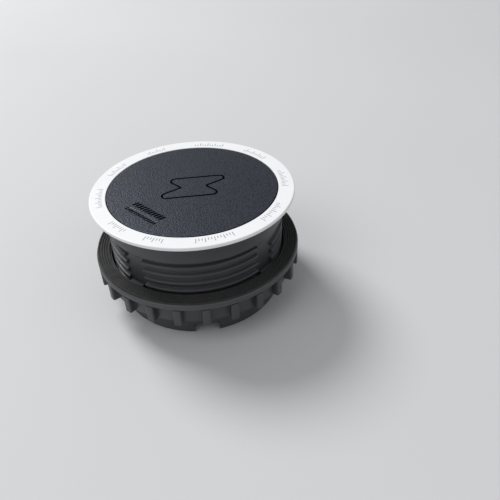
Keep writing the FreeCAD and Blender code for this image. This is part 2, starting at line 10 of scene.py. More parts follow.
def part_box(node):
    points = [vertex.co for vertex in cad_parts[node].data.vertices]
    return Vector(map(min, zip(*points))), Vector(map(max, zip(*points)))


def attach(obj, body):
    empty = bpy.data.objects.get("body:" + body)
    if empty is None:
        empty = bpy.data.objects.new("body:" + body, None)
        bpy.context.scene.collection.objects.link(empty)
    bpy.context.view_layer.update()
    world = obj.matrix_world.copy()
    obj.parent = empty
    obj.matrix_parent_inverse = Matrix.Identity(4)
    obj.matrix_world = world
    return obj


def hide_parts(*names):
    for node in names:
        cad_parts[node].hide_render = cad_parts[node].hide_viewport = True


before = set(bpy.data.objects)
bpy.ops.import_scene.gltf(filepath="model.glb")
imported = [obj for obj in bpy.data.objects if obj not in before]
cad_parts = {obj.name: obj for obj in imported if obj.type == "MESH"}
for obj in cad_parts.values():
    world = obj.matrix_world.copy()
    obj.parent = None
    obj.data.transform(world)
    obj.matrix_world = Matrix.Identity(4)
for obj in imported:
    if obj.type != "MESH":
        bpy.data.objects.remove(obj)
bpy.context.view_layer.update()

MM = 0.001

# Camera: the photograph's own view of the ring, solved from its two edges
LENS_MM = 38.27
SENSOR_MM = 36.0
IMAGE_PX = 500
ELEVATION = math.radians(30.343)
ROLL = math.radians(5.955)
DISTANCE = 235.0 * MM
TARGET_PX = (192.55, 186.62)
CLIP_START = 10 * MM

# Sizes read from the frame
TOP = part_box("trim_ring")[1].z
RING_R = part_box("trim_ring")[1].x
PAD_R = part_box("top_pad")[1].x
PAD_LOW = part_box("top_pad")[0].z
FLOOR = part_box("housing_barrel")[0].z

# Sizes of the body under the ring, in mm, with angles in degrees
PITCH = 4.0
THREAD_R = 39.1
ROOT_R = 37.6
COLLAR_R = 39.5
CAVITY_R = 35.6
POCKET_R = 37.35
FLANGE_R = 43.25
FLANGE_TOP = 0.9
FLANGE_LOW = 0.3
PLATE_LOW = -1.3
ARM_LOW = -3.1
COLLAR_LOW = -10.0
COLLAR_SLOPE = 0.4
KEYWAY_TOP = -12.5
COVER_TOP = -18.9
GRIP_TOP = -25.0
WASHER_TOP = -26.0
WASHER_LOW = -29.0
NUT_TOP = -29.05
NUT_LOW = -38.05
THREAD_END = -45.55
BARREL_END = -50.05
BARREL_CHAMFER = 0.6
BOSS_CIRCLE = 32.0
BOSS_HALF = 3.2
KEYWAY_R = 37.4
KEYWAY_HALF = 4.0
KEY_ANGLES = (45, 135, 225, 315)
KEY_STEP = KEY_ANGLES[1] - KEY_ANGLES[0]
KEY_HALF = 3.6
KEY_CLEARANCE = 0.4
NOTCH_ANGLES = (90, 270)
NOTCH_HALF = 5.5
NOTCH_HEIGHT = 5.2
WASHER_INNER_R = 39.9
WASHER_R = 46.5
WASHER_CHAMFER = 0.5
GRIP_INNER_R = 40.5
GRIP_R = 46.0
GRIP_GROOVES = 4
GRIP_GROOVE_DEPTH = 0.3
GRIP_GROOVE_HALF = 0.3
GRIP_GROOVE_FLOOR_HALF = 0.15
NUT_BORE_R = 39.45
NUT_BODY_R = 43.45
NUT_CHAMFER = 0.6
LUG_R = 46.5
LUG_HALF = 1.7
LUG_COUNT = 24

# Thread, in mm, with a tooth's setback, step and sweep in degrees. From crest to root, a ridge
# grows by the flank's run on each side.
CREST_HALF = 0.5
FLANK_RUN = 0.6
THREAD_CLEARANCE = 0.35
THREAD_RUN_IN = 0.8
TOOTH_SETBACK = 1.0
NUT_TOOTH_STEP = 60
NUT_TOOTH_SWEEP = 50

# Rounds on the body, in mm
FINE_ROUND = 0.1
SOFT_ROUND = 0.2
CREST_ROUND = 0.2
WASHER_BORE_ROUND = 0.15
GRIP_GROOVE_ROUND = 0.06
LUG_CORNER = 0.8
LUG_EDGE = 0.35
KEY_CORNER = 0.4
KEY_EDGE = 0.25

# How far solids run into each other, cutters run past, and faces stay apart, in mm
BURY = 0.5
KEY_BURY = 0.6
LUG_BURY = 2.0
CUT_PAST = 2.0
FACE_STEP = 0.02

# How finely curves are divided (a tooth's step is in degrees), how near two points count as one,
# and how far an edge has to turn to stay sharp
SEGMENTS = 256
ARC_STEPS = 6
EDGE_STEPS = 3
TOOTH_STEP = 1.5
WELD = 1e-7
OUTLINE_TOLERANCE = 1e-9
SHARP_DEGREES = 40.0
BODY_SHARP_DEGREES = 28.0

# Ring, print and pad
RING_INNER_R = 37.5 * MM
RING_SKIRT = 1.1 * MM
RING_CAP = 0.5 * MM
RING_LIFT = 0.1 * MM
RING_EDGE_ROUND = 0.6 * MM
RING_INNER_ROUND = 0.25 * MM
SKIRT_INNER_ROUND = 0.08 * MM
SKIRT_OUTER_ROUND = 0.12 * MM
PRINT_SINK = 0.03 * MM
PRINT_RISE = 0.008 * MM
PAD_EDGE_ROUND = 0.3 * MM
GROOVE_WIDTH = 1.0 * MM
GROOVE_DEPTH = 0.35 * MM

# The groove's soft lips: their width, and their depth at the start, in the middle and at the end
LIP = 0.1 * MM
LIP_START = 0.03 * MM
LIP_MIDDLE = 0.12 * MM
LIP_END = GROOVE_DEPTH * 0.8

# Finish numbers of the pad's faces: the leather, and a near-black finish that is painted shade in
# the groove, in the bars and on the pad's lower edge and side
LEATHER = 0
PAINTED_SHADE = 1

# Materials: soft edges, the share by which moulded pieces vary, streaks in metal, and how far
# the leather's pebbles wander
EDGE_RADIUS = 0.22 * MM
EDGE_SAMPLES = 6
UNEVEN = 0.12
STREAK_SHADE = 0.85
STREAK_GLOSS = (0.8, 1.25)
GRAIN_WANDER = 0.6 * MM

FLOOR_HALF = 6.0


def mesh_object(name, verts, faces):
    """A welded mesh object from points and faces."""
    mesh = bpy.data.meshes.new(name)
    mesh.from_pydata([tuple(v) for v in verts], [], faces)
    bm = bmesh.new()
    bm.from_mesh(mesh)
    bmesh.ops.remove_doubles(bm, verts=bm.verts, dist=WELD)
    bmesh.ops.recalc_face_normals(bm, faces=bm.faces)
    bm.to_mesh(mesh)
    bm.free()
    return shaded_object(name, mesh, SHARP_DEGREES)


def shaded_object(name, mesh, sharp_degrees):
    """An object with area-weighted smooth shading, broken at edges sharper than the angle."""
    mesh.shade_smooth()
    mesh.set_sharp_from_angle(angle=math.radians(sharp_degrees))
    obj = bpy.data.objects.new(name, mesh)
    bpy.context.scene.collection.objects.link(obj)
    weighted = obj.modifiers.new("weighted_normals", "WEIGHTED_NORMAL")
    weighted.keep_sharp = True
    return obj


def corner_arc(corners, i, steps, grown=1.0):
    """The centre of the arc at a corner, and the spokes from it to the arc's points. Corners
    start with (x, y, radius), and grown scales the spokes."""
    here = Vector(corners[i][:2])
    radius = corners[i][2]
    back = (Vector(corners[i - 1][:2]) - here).normalized()
    on = (Vector(corners[(i + 1) % len(corners)][:2]) - here).normalized()
    half = back.angle(on) / 2
    centre = here + (back + on).normalized() * (radius / math.sin(half))
    start = here + back * (radius / math.tan(half)) - centre
    end = here + on * (radius / math.tan(half)) - centre
    sweep = start.angle_signed(end)
    spokes = []
    for step in range(steps + 1):
        spoke = start * grown
        spoke.rotate(Matrix.Rotation(-sweep * step / steps, 2))
        spokes.append(spoke)
    return centre, spokes


def rounded_profile(corners):
    """Closed outline from (x, y, radius) corners, with an arc at each corner of some radius."""
    points = []
    for i, (x, y, radius) in enumerate(corners):
        if radius <= 0:
            points.append(Vector((x, y)))
        else:
            centre, spokes = corner_arc(corners, i, ARC_STEPS)
            points += [centre + spoke for spoke in spokes]
    return points


def in_metres(corners):
    """Corners given as (r, z, radius) in mm, in metres."""
    return [(r * MM, z * MM, radius * MM) for r, z, radius in corners]


def lathe(name, corners):
    """Ring-shaped solid of revolution about Z from (r, z, radius) corners."""
    profile = rounded_profile(corners)
    count = len(profile)
    verts = []
    for s in range(SEGMENTS):
        angle = 2 * math.pi * s / SEGMENTS
        verts += [(p.x * math.cos(angle), p.x * math.sin(angle), p.y) for p in profile]
    faces = []
    for s in range(SEGMENTS):
        this = s * count
        following = (s + 1) % SEGMENTS * count
        for i in range(count):
            j = (i + 1) % count
            faces.append((this + i, this + j, following + j, following + i))
    return mesh_object(name, verts, faces)


def circle(radius, z):
    step = 2 * math.pi / SEGMENTS
    return [Vector((radius * math.cos(i * step), radius * math.sin(i * step), z))
            for i in range(SEGMENTS)]


class Surface:
    """Collects the points and faces of one mesh, with a finish number for each face."""

    def __init__(self):
        self.verts = []
        self.faces = []
        self.finishes = []

    def strip(self, first, second, finish=0):
        """A closed band of quads between two loops of as many points."""
        base = len(self.verts)
        count = len(first)
        self.verts += list(first) + list(second)
        for i in range(count):
            j = (i + 1) % count
            self.faces.append((base + i, base + j, base + count + j, base + count + i))
            self.finishes.append(finish)

    def flat(self, outline, holes, z, finish=0):
        """Triangles that fill an outline at one height, apart from its holes."""
        loops = [outline] + holes
        points = []
        edges = []
        for loop in loops:
            base = len(points)
            points += [Vector((p[0], p[1])) for p in loop]
            edges += [(base + i, base + (i + 1) % len(loop)) for i in range(len(loop))]
        verts, _, tris, _, _, _ = delaunay_2d_cdt(points, edges, [], 0, OUTLINE_TOLERANCE)
        base = len(self.verts)
        self.verts += [Vector((v.x, v.y, z)) for v in verts]
        for tri in tris:
            centre = sum((verts[i] for i in tri), Vector((0, 0))) / 3
            if inside(centre, outline) and not any(inside(centre, hole) for hole in holes):
                self.faces.append(tuple(base + i for i in tri))
                self.finishes.append(finish)

    def cap(self, loop):
        """One face that fills a flat convex loop."""
        base = len(self.verts)
        self.verts += list(loop)
        self.faces.append(tuple(range(base, base + len(loop))))
        self.finishes.append(0)

    def tube(self, loops):
        """Bands through a row of loops, closed by a face at each end."""
        for first, second in zip(loops, loops[1:]):
            self.strip(first, second)
        self.cap(loops[0])
        self.cap(loops[-1])

    def build(self, name, materials):
        obj = mesh_object(name, self.verts, self.faces)
        for material in materials:
            obj.data.materials.append(material)
        # Welding keeps the faces in order, so each keeps its finish
        for polygon, finish in zip(obj.data.polygons, self.finishes):
            polygon.material_index = finish
        return obj


def inside(point, loop):
    """Even-odd test of a 2-D point in a closed loop."""
    result = False
    x, y = point[0], point[1]
    for i in range(len(loop)):
        ax, ay = loop[i - 1][0], loop[i - 1][1]
        bx, by = loop[i][0], loop[i][1]
        if (ay > y) != (by > y) and x < (bx - ax) * (y - ay) / (by - ay) + ax:
            result = not result
    return result


# Materials


def new_material(name):
    """A node material with its nodes, links, shader and texture coordinates."""
    material = bpy.data.materials.new(name)
    material.use_nodes = True
    nodes = material.node_tree.nodes
    shader = nodes["Principled BSDF"]
    coords = nodes.new("ShaderNodeTexCoord")
    return material, nodes, material.node_tree.links, shader, coords


def noise(nodes, links, coords, scale, detail):
    texture = nodes.new("ShaderNodeTexNoise")
    texture.inputs["Scale"].default_value = scale
    texture.inputs["Detail"].default_value = detail
    links.new(coords.outputs["Object"], texture.inputs["Vector"])
    return texture.outputs["Fac"]


def spread(nodes, links, source, low, high, start=0.3, stop=0.7):
    """Maps a texture's middle values onto a range of numbers."""
    ranged = nodes.new("ShaderNodeMapRange")
    ranged.inputs["From Min"].default_value = start
    ranged.inputs["From Max"].default_value = stop
    ranged.inputs["To Min"].default_value = low
    ranged.inputs["To Max"].default_value = high
    links.new(source, ranged.inputs["Value"])
    return ranged.outputs["Result"]


def blend_colours(nodes, links, source, first, second, start=0.3, stop=0.7):
    """Turns from the first colour to the second over a texture's middle values."""
    ramp = nodes.new("ShaderNodeValToRGB")
    ramp.color_ramp.elements[0].position = start
    ramp.color_ramp.elements[0].color = (*first, 1)
    ramp.color_ramp.elements[1].position = stop
    ramp.color_ramp.elements[1].color = (*second, 1)
    links.new(source, ramp.inputs["Fac"])
    return ramp.outputs["Color"]


def bump(nodes, links, shader, height, distance, before=None):
    """Relief from a texture, over the relief or the soft edges of the node before it."""
    node = nodes.new("ShaderNodeBump")
    node.inputs["Strength"].default_value = 1.0
    node.inputs["Distance"].default_value = distance
    links.new(height, node.inputs["Height"])
    if before is not None:
        links.new(before.outputs["Normal"], node.inputs["Normal"])
    links.new(node.outputs["Normal"], shader.inputs["Normal"])
    return node


def moulded(name, colour, roughness, grain_scale=2600.0, grain_depth=0.02 * MM, specular=0.5):
    """Moulded plastic or rubber: spark texture, faint clouds of colour and uneven gloss."""
    material, nodes, links, shader, coords = new_material(name)
    clouds = noise(nodes, links, coords, scale=45.0, detail=4.0)
    darker = tuple(c * (1 - UNEVEN) for c in colour)
    lighter = tuple(min(c * (1 + UNEVEN), 1.0) for c in colour)
    links.new(blend_colours(nodes, links, clouds, darker, lighter),
              shader.inputs["Base Color"])
    wear = noise(nodes, links, coords, scale=300.0, detail=5.0)
    glossy = roughness * (1 - UNEVEN)
    dull = min(roughness * (1 + UNEVEN), 1.0)
    links.new(spread(nodes, links, wear, glossy, dull), shader.inputs["Roughness"])
    shader.inputs["Specular IOR Level"].default_value = specular
    grain = noise(nodes, links, coords, scale=grain_scale, detail=2.0)
    bump(nodes, links, shader, grain, grain_depth, before=soft_edges(nodes))
    return material


def soft_edges(nodes):
    """Rounds the shading at the edges, as moulded and pressed edges are."""
    node = nodes.new("ShaderNodeBevel")
    node.samples = EDGE_SAMPLES
    node.inputs["Radius"].default_value = EDGE_RADIUS
    return node


def metal(name, colour, roughness, streak_scale=900.0):
    """Bare or plated metal with fine streaks."""
    material, nodes, links, shader, coords = new_material(name)
    streaks = noise(nodes, links, coords, scale=streak_scale, detail=4.0)
    darker = tuple(c * STREAK_SHADE for c in colour)
    links.new(blend_colours(nodes, links, streaks, darker, colour), shader.inputs["Base Color"])
    glossy, dull = [roughness * share for share in STREAK_GLOSS]
    links.new(spread(nodes, links, streaks, glossy, dull), shader.inputs["Roughness"])
    shader.inputs["Metallic"].default_value = 1.0
    bump(nodes, links, shader, streaks, distance=0.01 * MM)
    return material


def pad_leather():
    """Charcoal leather-like skin with a fine pebble grain, darkened towards each pebble's edge as
    painted shade in the creases.
    """
    material, nodes, links, shader, coords = new_material("pad_leather")
    pebbles = nodes.new("ShaderNodeTexVoronoi")
    pebbles.feature = "SMOOTH_F1"
    pebbles.inputs["Scale"].default_value = 1500.0
    pebbles.inputs["Smoothness"].default_value = 0.35
    pebbles.inputs["Randomness"].default_value = 1.0
    wander = nodes.new("ShaderNodeTexNoise")
    wander.inputs["Scale"].default_value = 420.0
    wander.inputs["Detail"].default_value = 3.0
    links.new(coords.outputs["Object"], wander.inputs["Vector"])
    shake = nodes.new("ShaderNodeVectorMath")
    shake.operation = "MULTIPLY_ADD"
    shake.inputs[1].default_value = (GRAIN_WANDER, GRAIN_WANDER, GRAIN_WANDER)
    links.new(wander.outputs["Color"], shake.inputs[0])
    links.new(coords.outputs["Object"], shake.inputs[2])
    links.new(shake.outputs["Vector"], pebbles.inputs["Vector"])
    crowns = pebbles.outputs["Distance"]
    skin = (0.0275, 0.03, 0.044)
    # Near black between the pebbles: painted shade in the creases
    crease_shade = (0.001, 0.0013, 0.003)
    links.new(blend_colours(nodes, links, crowns, skin, crease_shade, start=0.15, stop=0.75),
              shader.inputs["Base Color"])
    links.new(spread(nodes, links, crowns, low=0.34, high=0.44, start=0.1, stop=0.8),
              shader.inputs["Roughness"])
    shader.inputs["Specular IOR Level"].default_value = 0.46
    shader.inputs["Specular Tint"].default_value = (0.72, 0.81, 1.0, 1)
    pores = noise(nodes, links, coords, scale=5200.0, detail=2.0)
    fine = bump(nodes, links, shader, pores, distance=0.008 * MM)
    raised = spread(nodes, links, crowns, low=1.0, high=0.0, start=0.0, stop=0.8)
    bump(nodes, links, shader, raised, distance=0.1 * MM, before=fine)
    return material


def ring_plastic():
    """White moulded plastic with a satin face."""
    material, nodes, links, shader, coords = new_material("ring_plastic")
    clouds = noise(nodes, links, coords, scale=60.0, detail=3.0)
    links.new(blend_colours(nodes, links, clouds, (0.86, 0.87, 0.885), (0.89, 0.9, 0.91)),
              shader.inputs["Base Color"])
    wear = noise(nodes, links, coords, scale=500.0, detail=4.0)
    links.new(spread(nodes, links, wear, low=0.3, high=0.42), shader.inputs["Roughness"])
    shader.inputs["Specular IOR Level"].default_value = 0.3
    grain = noise(nodes, links, coords, scale=3800.0, detail=2.0)
    bump(nodes, links, shader, grain, distance=0.004 * MM)
    return material


def floor_paint():
    """Pale matt paint with faint clouds."""
    material, nodes, links, shader, coords = new_material("floor_paint")
    clouds = noise(nodes, links, coords, scale=4.0, detail=2.0)
    links.new(blend_colours(nodes, links, clouds, (0.60, 0.605, 0.61), (0.62, 0.625, 0.63)),
              shader.inputs["Base Color"])
    shader.inputs["Roughness"].default_value = 0.75
    return material


# Pieces on the face


def make_ring(material):
    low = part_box("flange_gasket")[0].z + RING_LIFT
    ring = lathe("ring", [
        (RING_INNER_R, TOP - PRINT_RISE, RING_INNER_ROUND),
        (RING_INNER_R, TOP - RING_CAP, 0),
        (RING_R - RING_SKIRT, TOP - RING_CAP, 0),
        (RING_R - RING_SKIRT, low, SKIRT_INNER_ROUND),
        (RING_R, low, SKIRT_OUTER_ROUND),
        (RING_R, TOP - PRINT_RISE, RING_EDGE_ROUND)])
    ring.data.materials.append(material)
    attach(ring, "housing")
    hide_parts("trim_ring")


# Tick groups printed on the ring: middle angle in degrees and number of ticks
TICK_GROUPS = ((245, 7), (219, 8), (183, 13), (147, 10), (113, 8), (75, 12), (39, 11), (0, 12),
               (-40, 12), (-81, 13))
TICK_CIRCLE = 40.4 * MM
TICK_PITCH = math.radians(1.75)
TICK_WIDTH = 0.34 * MM
TICK_LENGTHS = (2.7 * MM, 1.5 * MM, 1.5 * MM)


def make_ticks(material):
    surface = Surface()
    for middle, count in TICK_GROUPS:
        for i in range(count):
            angle = math.radians(middle) + (i - (count - 1) / 2) * TICK_PITCH
            length = TICK_LENGTHS[i % len(TICK_LENGTHS)]
            add_tick(surface, angle, length)
    ticks = surface.build("ring_ticks", [material])
    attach(ticks, "housing")


def add_tick(surface, angle, length):
    along = Vector((math.cos(angle), math.sin(angle), 0))
    across = Vector((-along.y, along.x, 0)) * (TICK_WIDTH / 2)
    start = along * (TICK_CIRCLE - TICK_LENGTHS[0] / 2)
    end = start + along * length
    corners = [start - across, end - across, end + across, start + across]
    low = [c + Vector((0, 0, TOP - PRINT_SINK)) for c in corners]
    high = [c + Vector((0, 0, TOP)) for c in corners]
    surface.tube([low, high])


# Charging sign, the same when turned by half a turn about its centre: place of a corner and its
# radius, in mm, and 1 where the corner points outwards or -1 where it points inwards
SIGN_CENTRE = Vector((0.45, 0.1))
SIGN_HALF = ((5.45, 0.0, 0.55, -1), (20.0, 7.6, 2.1, 1), (-12.0, 8.15, 2.1, 1))
SIGN_ARC_STEPS = 12


def sign_loop(offset, z):
    """The sign's outline moved outwards by an offset, as points at one height."""
    corners = list(SIGN_HALF) + [(-x, -y, r, side) for x, y, r, side in SIGN_HALF]
    loop = []
    for i, (_, _, radius, side) in enumerate(corners):
        grown = (radius + side * offset / MM) / radius
        centre, spokes = corner_arc(corners, i, SIGN_ARC_STEPS, grown)
        for spoke in spokes:
            place = (SIGN_CENTRE + centre + spoke) * MM
            loop.append(Vector((place.x, place.y, z)))
    return loop


# Rows of plain bars pressed into the pad: middle, bar count, pitch, width and height, in mm
BAR_ROWS = (((-18.8, -16.0), 11, 1.68, 1.24, 3.1), ((-22.2, -18.9), 14, 1.33, 0.94, 1.9))
BAR_HEADING = math.radians(-50.0)
BAR_ALONG = Vector((math.cos(BAR_HEADING), math.sin(BAR_HEADING)))
BAR_SLANT = 0.25
BAR_DEPTH = 0.2 * MM
BAR_CORNER = 0.16
BAR_CORNER_SHARE = 0.8

# How far a bar's walls have drawn in, in mm, and how deep they are there
BAR_STEPS = ((0.0, 0.0), (0.05, 0.05 * MM), (0.1, BAR_DEPTH))


def bar_loop(middle, width, height, inset, z):
    """One slanted bar with rounded corners, drawn in by an inset."""
    half_w = width / 2 - inset
    half_h = height / 2 - inset
    corners = [(-half_w, -half_h), (half_w, -half_h), (half_w, half_h), (-half_w, half_h)]
    radius = min(BAR_CORNER, half_w * BAR_CORNER_SHARE)
    outline = rounded_profile([(x, y, radius) for x, y in corners])
    up = Vector((-BAR_ALONG.y, BAR_ALONG.x))
    loop = []
    for point in outline:
        place = middle + BAR_ALONG * (point.x + point.y * BAR_SLANT) + up * point.y
        loop.append(Vector((place.x * MM, place.y * MM, z)))
    return loop


def add_sign(surface):
    """The sign's groove with its soft lips, its walls and floor in painted shade, and the pad
    inside it. Returns its outer edge.
    """
    half = GROOVE_WIDTH / 2
    wall = [(half + LIP / 2, 0.0), (half, LIP_START), (half - LIP / 2, LIP_MIDDLE),
            (half - LIP, LIP_END), (half - 2 * LIP, GROOVE_DEPTH)]
    groove = wall + [(-offset, depth) for offset, depth in reversed(wall)]
    loops = [sign_loop(offset, TOP - depth) for offset, depth in groove]
    last = len(loops) - 2
    # The walls and floor of the groove, between the lips, are painted shade
    for i, (first, second) in enumerate(zip(loops, loops[1:])):
        surface.strip(first, second, PAINTED_SHADE if 0 < i < last else LEATHER)
    surface.flat(loops[-1], [], TOP)
    return loops[0]


def add_bars(surface):
    """The rows of pressed bars, their lower walls and floors in painted shade. Returns their upper
    edges.
    """
    edges = []
    for place, count, pitch, width, height in BAR_ROWS:
        for i in range(count):
            middle = Vector(place) + BAR_ALONG * ((i - (count - 1) / 2) * pitch)
            upper, lip, lower = [bar_loop(middle, width, height, inset, TOP - depth)
                                 for inset, depth in BAR_STEPS]
            # The bar's lower walls and floor are painted shade
            surface.strip(upper, lip, LEATHER)
            surface.strip(lip, lower, PAINTED_SHADE)
            surface.flat(lower, [], TOP - BAR_DEPTH, PAINTED_SHADE)
            edges.append(upper)
    return edges


def make_pad(leather, shade_paint):
    """The pad: rounded edge, the sign's groove with soft lips, and the pressed bars, with painted
    shade in the groove, in the bars and on the lower half of the edge and the side.
    """
    surface = Surface()
    holes = [add_sign(surface)] + add_bars(surface)
    edge = []
    for step in range(ARC_STEPS + 1):
        angle = math.pi / 2 * step / ARC_STEPS
        radius = PAD_R - PAD_EDGE_ROUND + PAD_EDGE_ROUND * math.sin(angle)
        edge.append(circle(radius, TOP - PAD_EDGE_ROUND + PAD_EDGE_ROUND * math.cos(angle)))
    surface.flat(edge[0], holes, TOP)
    # The lower half of the rounded edge and the side, in the gap to the ring, are painted shade
    for step, (first, second) in enumerate(zip(edge, edge[1:])):
        surface.strip(first, second, PAINTED_SHADE if step >= ARC_STEPS // 2 else LEATHER)
    foot = circle(PAD_R, PAD_LOW)
    surface.strip(edge[-1], foot, PAINTED_SHADE)
    surface.flat(foot, [], PAD_LOW)
    pad = surface.build("pad", [leather, shade_paint])
    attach(pad, "housing")
    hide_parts("top_pad")


def helical_tooth(surface, section, angle, sweep, lift):
    """A piece of a right-handed ridge. Its section is (radius, height from its middle)."""
    steps = max(2, round(sweep / TOOTH_STEP))
    loops = []
    for step in range(steps + 1):
        degrees = angle + sweep * step / steps
        turn = math.radians(degrees)
        rise = PITCH * degrees / 360 + lift
        loops.append([Vector((r * math.cos(turn), r * math.sin(turn), z + rise)) * MM
                      for r, z in section])
    surface.tube(loops)


def ridge_section(buried_r, crest_r, half_width):
    """Trapezoid section of a thread with slightly rounded crest corners."""
    side = 1 if crest_r > buried_r else -1
    shoulder = crest_r - side * CREST_ROUND
    crest = half_width(crest_r) - CREST_ROUND
    return [(buried_r, -half_width(buried_r)), (shoulder, -half_width(shoulder)),
            (crest_r, -crest), (crest_r, crest), (shoulder, half_width(shoulder)),
            (buried_r, half_width(buried_r))]


def barrel_half_width(radius):
    """Half width of the barrel's ridge at a radius."""
    return CREST_HALF + FLANK_RUN * (THREAD_R - radius) / (THREAD_R - ROOT_R)


def nut_half_width(radius):
    """Half width of the nut's ridge, which fills the barrel's gap but for the clearance."""
    return PITCH / 2 - barrel_half_width(radius) - THREAD_CLEARANCE


def winding_angles(first, step, sweep, low, high):
    """Angles along the thread at which a tooth of this sweep stays between two heights."""
    start = math.ceil((low * 360 / PITCH - first) / step)
    stop = math.floor((high * 360 / PITCH - sweep - first) / step)
    return [first + step * i for i in range(start, stop + 1)]


def block(surface, low, high, degrees):
    """A box between two corners in mm, turned about Z."""
    turn = Matrix.Rotation(math.radians(degrees), 3, "Z")
    (x0, y0, z0), (x1, y1, z1) = low, high
    corners = ((x0, y0), (x1, y0), (x1, y1), (x0, y1))
    surface.tube([[turn @ Vector((x, y, z)) * MM for x, y in corners] for z in (z0, z1)])


def rounded_prism(surface, outline, low, high, edge, degrees):
    """An upright convex prism, outline in mm, with rounded upper and lower edges."""
    turn = Matrix.Rotation(math.radians(degrees), 3, "Z")
    loops = []
    for side, level in ((-1, low), (1, high)):
        arcs = []
        for step in range(EDGE_STEPS + 1):
            angle = math.pi / 2 * step / EDGE_STEPS
            inset = edge * (1 - math.sin(angle))
            height = level - side * edge * (1 - math.cos(angle))
            arcs.append([turn @ Vector((p.x, p.y, height)) * MM
                         for p in drawn_in(outline, inset)])
        loops += arcs if side < 0 else arcs[::-1]
    surface.tube(loops)


def drawn_in(outline, inset):
    """A convex outline, wound counter-clockwise, moved inwards."""
    moved = []
    for i, point in enumerate(outline):
        along = (outline[(i + 1) % len(outline)] - outline[i - 1]).normalized()
        moved.append(point + Vector((-along.y, along.x)) * inset)
    return moved


def cut_by(obj, cutter):
    """The object's mesh without the cutter's solids. Both objects are gone afterwards."""
    modifier = obj.modifiers.new("cut", "BOOLEAN")
    modifier.operation = "DIFFERENCE"
    modifier.solver = "EXACT"
    modifier.object = cutter
    graph = bpy.context.evaluated_depsgraph_get()
    mesh = bpy.data.meshes.new_from_object(obj.evaluated_get(graph))
    bpy.data.objects.remove(cutter)
    bpy.data.objects.remove(obj)
    return mesh


def joined(name, meshes, material):
    """One object made of several closed meshes."""
    bm = bmesh.new()
    for mesh in meshes:
        bm.from_mesh(mesh)
    mesh = bpy.data.meshes.new(name)
    bm.to_mesh(mesh)
    bm.free()
    mesh.materials.append(material)
    return shaded_object(name, mesh, BODY_SHARP_DEGREES)


def placed(piece, node, body):
    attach(piece, body)
    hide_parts(node)


def taken_mesh(obj):
    """The object's mesh, once the object itself is gone."""
    mesh = obj.data
    bpy.data.objects.remove(obj)
    return mesh


def barrel_wall():
    """Mesh of the barrel's wall, collar and flange, with keyways and the notches for the lead."""
    corners = [(CAVITY_R, BARREL_END, SOFT_ROUND),
               (ROOT_R - BARREL_CHAMFER, BARREL_END, FINE_ROUND),
               (ROOT_R, BARREL_END + BARREL_CHAMFER, FINE_ROUND),
               (ROOT_R, COLLAR_LOW - COLLAR_SLOPE, 0), (COLLAR_R, COLLAR_LOW, FINE_ROUND),
               (COLLAR_R, FLANGE_LOW, 0), (FLANGE_R, FLANGE_LOW, 0), (FLANGE_R, FLANGE_TOP, 0),
               (POCKET_R, FLANGE_TOP, 0), (POCKET_R, PLATE_LOW, 0), (CAVITY_R, PLATE_LOW, 0)]
    tube = lathe("tube", in_metres(corners))
    cutter = Surface()
    below = BARREL_END - CUT_PAST
    outside = COLLAR_R + CUT_PAST
    for angle in KEY_ANGLES:
        block(cutter, (KEYWAY_R, -KEYWAY_HALF, below), (outside, KEYWAY_HALF, KEYWAY_TOP), angle)
    for angle in NOTCH_ANGLES:
        block(cutter, (CAVITY_R - CUT_PAST, -NOTCH_HALF, below),
              (outside, NOTCH_HALF, BARREL_END + NOTCH_HEIGHT), angle)
    return cut_by(tube, cutter.build("cutter", []))


def make_barrel(material):
    meshes = [barrel_wall()]
    teeth = Surface()
    section = ridge_section(ROOT_R - BURY, THREAD_R, barrel_half_width)
    setback = math.degrees(math.asin(KEYWAY_HALF / ROOT_R)) + TOOTH_SETBACK
    sweep = KEY_STEP - 2 * setback
    half = barrel_half_width(ROOT_R)
    for angle in winding_angles(KEY_ANGLES[0] + setback, KEY_STEP, sweep, THREAD_END + half,
                                COLLAR_LOW - THREAD_RUN_IN - half):
        helical_tooth(teeth, section, angle, sweep, 0.0)
    for angle in KEY_ANGLES:
        block(teeth, (BOSS_CIRCLE - BOSS_HALF, -BOSS_HALF, COVER_TOP),
              (CAVITY_R + BURY, BOSS_HALF, ARM_LOW), angle)
    meshes.append(taken_mesh(teeth.build("teeth", [])))
    placed(joined("barrel", meshes, material), "housing_barrel", "housing")


def make_nut(material):
    corners = [(NUT_BORE_R + NUT_CHAMFER, NUT_LOW, FINE_ROUND),
               (NUT_BODY_R - NUT_CHAMFER, NUT_LOW, SOFT_ROUND),
               (NUT_BODY_R, NUT_LOW + NUT_CHAMFER, SOFT_ROUND),
               (NUT_BODY_R, NUT_TOP, SOFT_ROUND),
               (NUT_BORE_R + NUT_CHAMFER, NUT_TOP, FINE_ROUND),
               (NUT_BORE_R, NUT_TOP - NUT_CHAMFER, FINE_ROUND),
               (NUT_BORE_R, NUT_LOW + NUT_CHAMFER, FINE_ROUND)]
    ring = lathe("ring_body", in_metres(corners))
    details = Surface()
    inner = NUT_BODY_R - LUG_BURY
    outline = rounded_profile([(inner, -LUG_HALF, 0), (LUG_R, -LUG_HALF, LUG_CORNER),
                               (LUG_R, LUG_HALF, LUG_CORNER), (inner, LUG_HALF, 0)])
    for i in range(LUG_COUNT):
        rounded_prism(details, outline, NUT_LOW + NUT_CHAMFER, NUT_TOP - FACE_STEP, LUG_EDGE,
                      i * 360 / LUG_COUNT)
    section = ridge_section(NUT_BORE_R + BURY, ROOT_R + THREAD_CLEARANCE, nut_half_width)
    half = nut_half_width(NUT_BORE_R)
    lift = PITCH / 2
    for angle in winding_angles(0, NUT_TOOTH_STEP, NUT_TOOTH_SWEEP,
                                NUT_LOW + NUT_CHAMFER + half - lift,
                                NUT_TOP - NUT_CHAMFER - half - lift):
        helical_tooth(details, section, angle, NUT_TOOTH_SWEEP, lift)
    meshes = [taken_mesh(ring), taken_mesh(details.build("lugs", []))]
    placed(joined("nut", meshes, material), "lock_nut", "nut")


